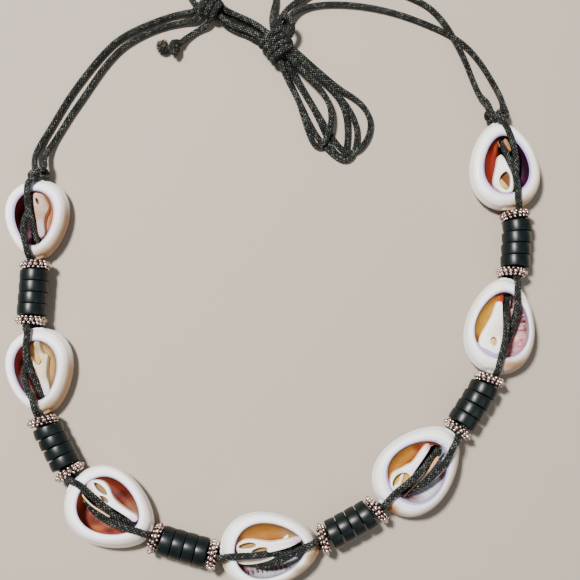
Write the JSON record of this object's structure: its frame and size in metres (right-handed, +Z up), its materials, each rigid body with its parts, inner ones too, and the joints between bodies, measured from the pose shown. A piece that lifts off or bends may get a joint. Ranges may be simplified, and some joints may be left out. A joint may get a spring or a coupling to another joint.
{
  "type": "shell necklace",
  "caption": "Necklace of cut-open cowrie shells, black discs and granulated ring spacers strung on two waxed cords, with an adjustable knotted closure and a hank of spare cord",
  "frame": {"origin": "on the surface the necklace lies on, under the middle of the box round the strung part (shells, beads, strands and end knots)", "axes": "+Z up from the surface, +Y towards the neck closure, +X to the right of the loop seen from above"},
  "size_m": [0.1521, 0.1777, 0.0102],
  "materials": {
    "shell": "glossy natural shell",
    "disc": "polished black",
    "spacer": "silver-coloured plating, dark in the recesses",
    "cord": "waxed braided cotton"
  },
  "bodies": {
    "root": {"shell_1": "shell", "shell_2": "shell", "shell_3": "shell", "shell_4": "shell", "shell_5": "shell", "shell_6": "shell", "shell_7": "shell", "disc_1_1": "disc", "disc_1_2": "disc", "disc_1_3": "disc", "disc_1_4": "disc", "disc_2_1": "disc", "disc_2_2": "disc", "disc_2_3": "disc", "disc_2_4": "disc", "disc_3_1": "disc", "disc_3_2": "disc", "disc_3_3": "disc", "disc_3_4": "disc", "disc_4_1": "disc", "disc_4_2": "disc", "disc_4_3": "disc", "disc_4_4": "disc", "disc_5_1": "disc", "disc_5_2": "disc", "disc_5_3": "disc", "disc_5_4": "disc", "disc_6_1": "disc", "disc_6_2": "disc", "disc_6_3": "disc", "disc_6_4": "disc", "spacer_1": "spacer", "spacer_2": "spacer", "spacer_3": "spacer", "spacer_4": "spacer", "spacer_5": "spacer", "spacer_6": "spacer", "spacer_7": "spacer", "spacer_8": "spacer", "spacer_9": "spacer", "spacer_10": "spacer", "spacer_11": "spacer", "spacer_12": "spacer", "strand_a": "cord", "strand_b": "cord", "end_knot_left": "cord", "end_knot_right": "cord", "neck_cord_left_1": "cord", "neck_cord_left_2": "cord", "neck_cord_right_1": "cord", "neck_cord_right_2": "cord", "slide_knot_far": "cord", "bundle_cord_1": "cord", "bundle_cord_2": "cord", "bundle_cord_3": "cord", "bundle_cord_4": "cord", "slide_knot_hank": "cord", "top_loop_cord": "cord", "hank": "cord", "tail_cord": "cord"}
  },
  "joints": []
}
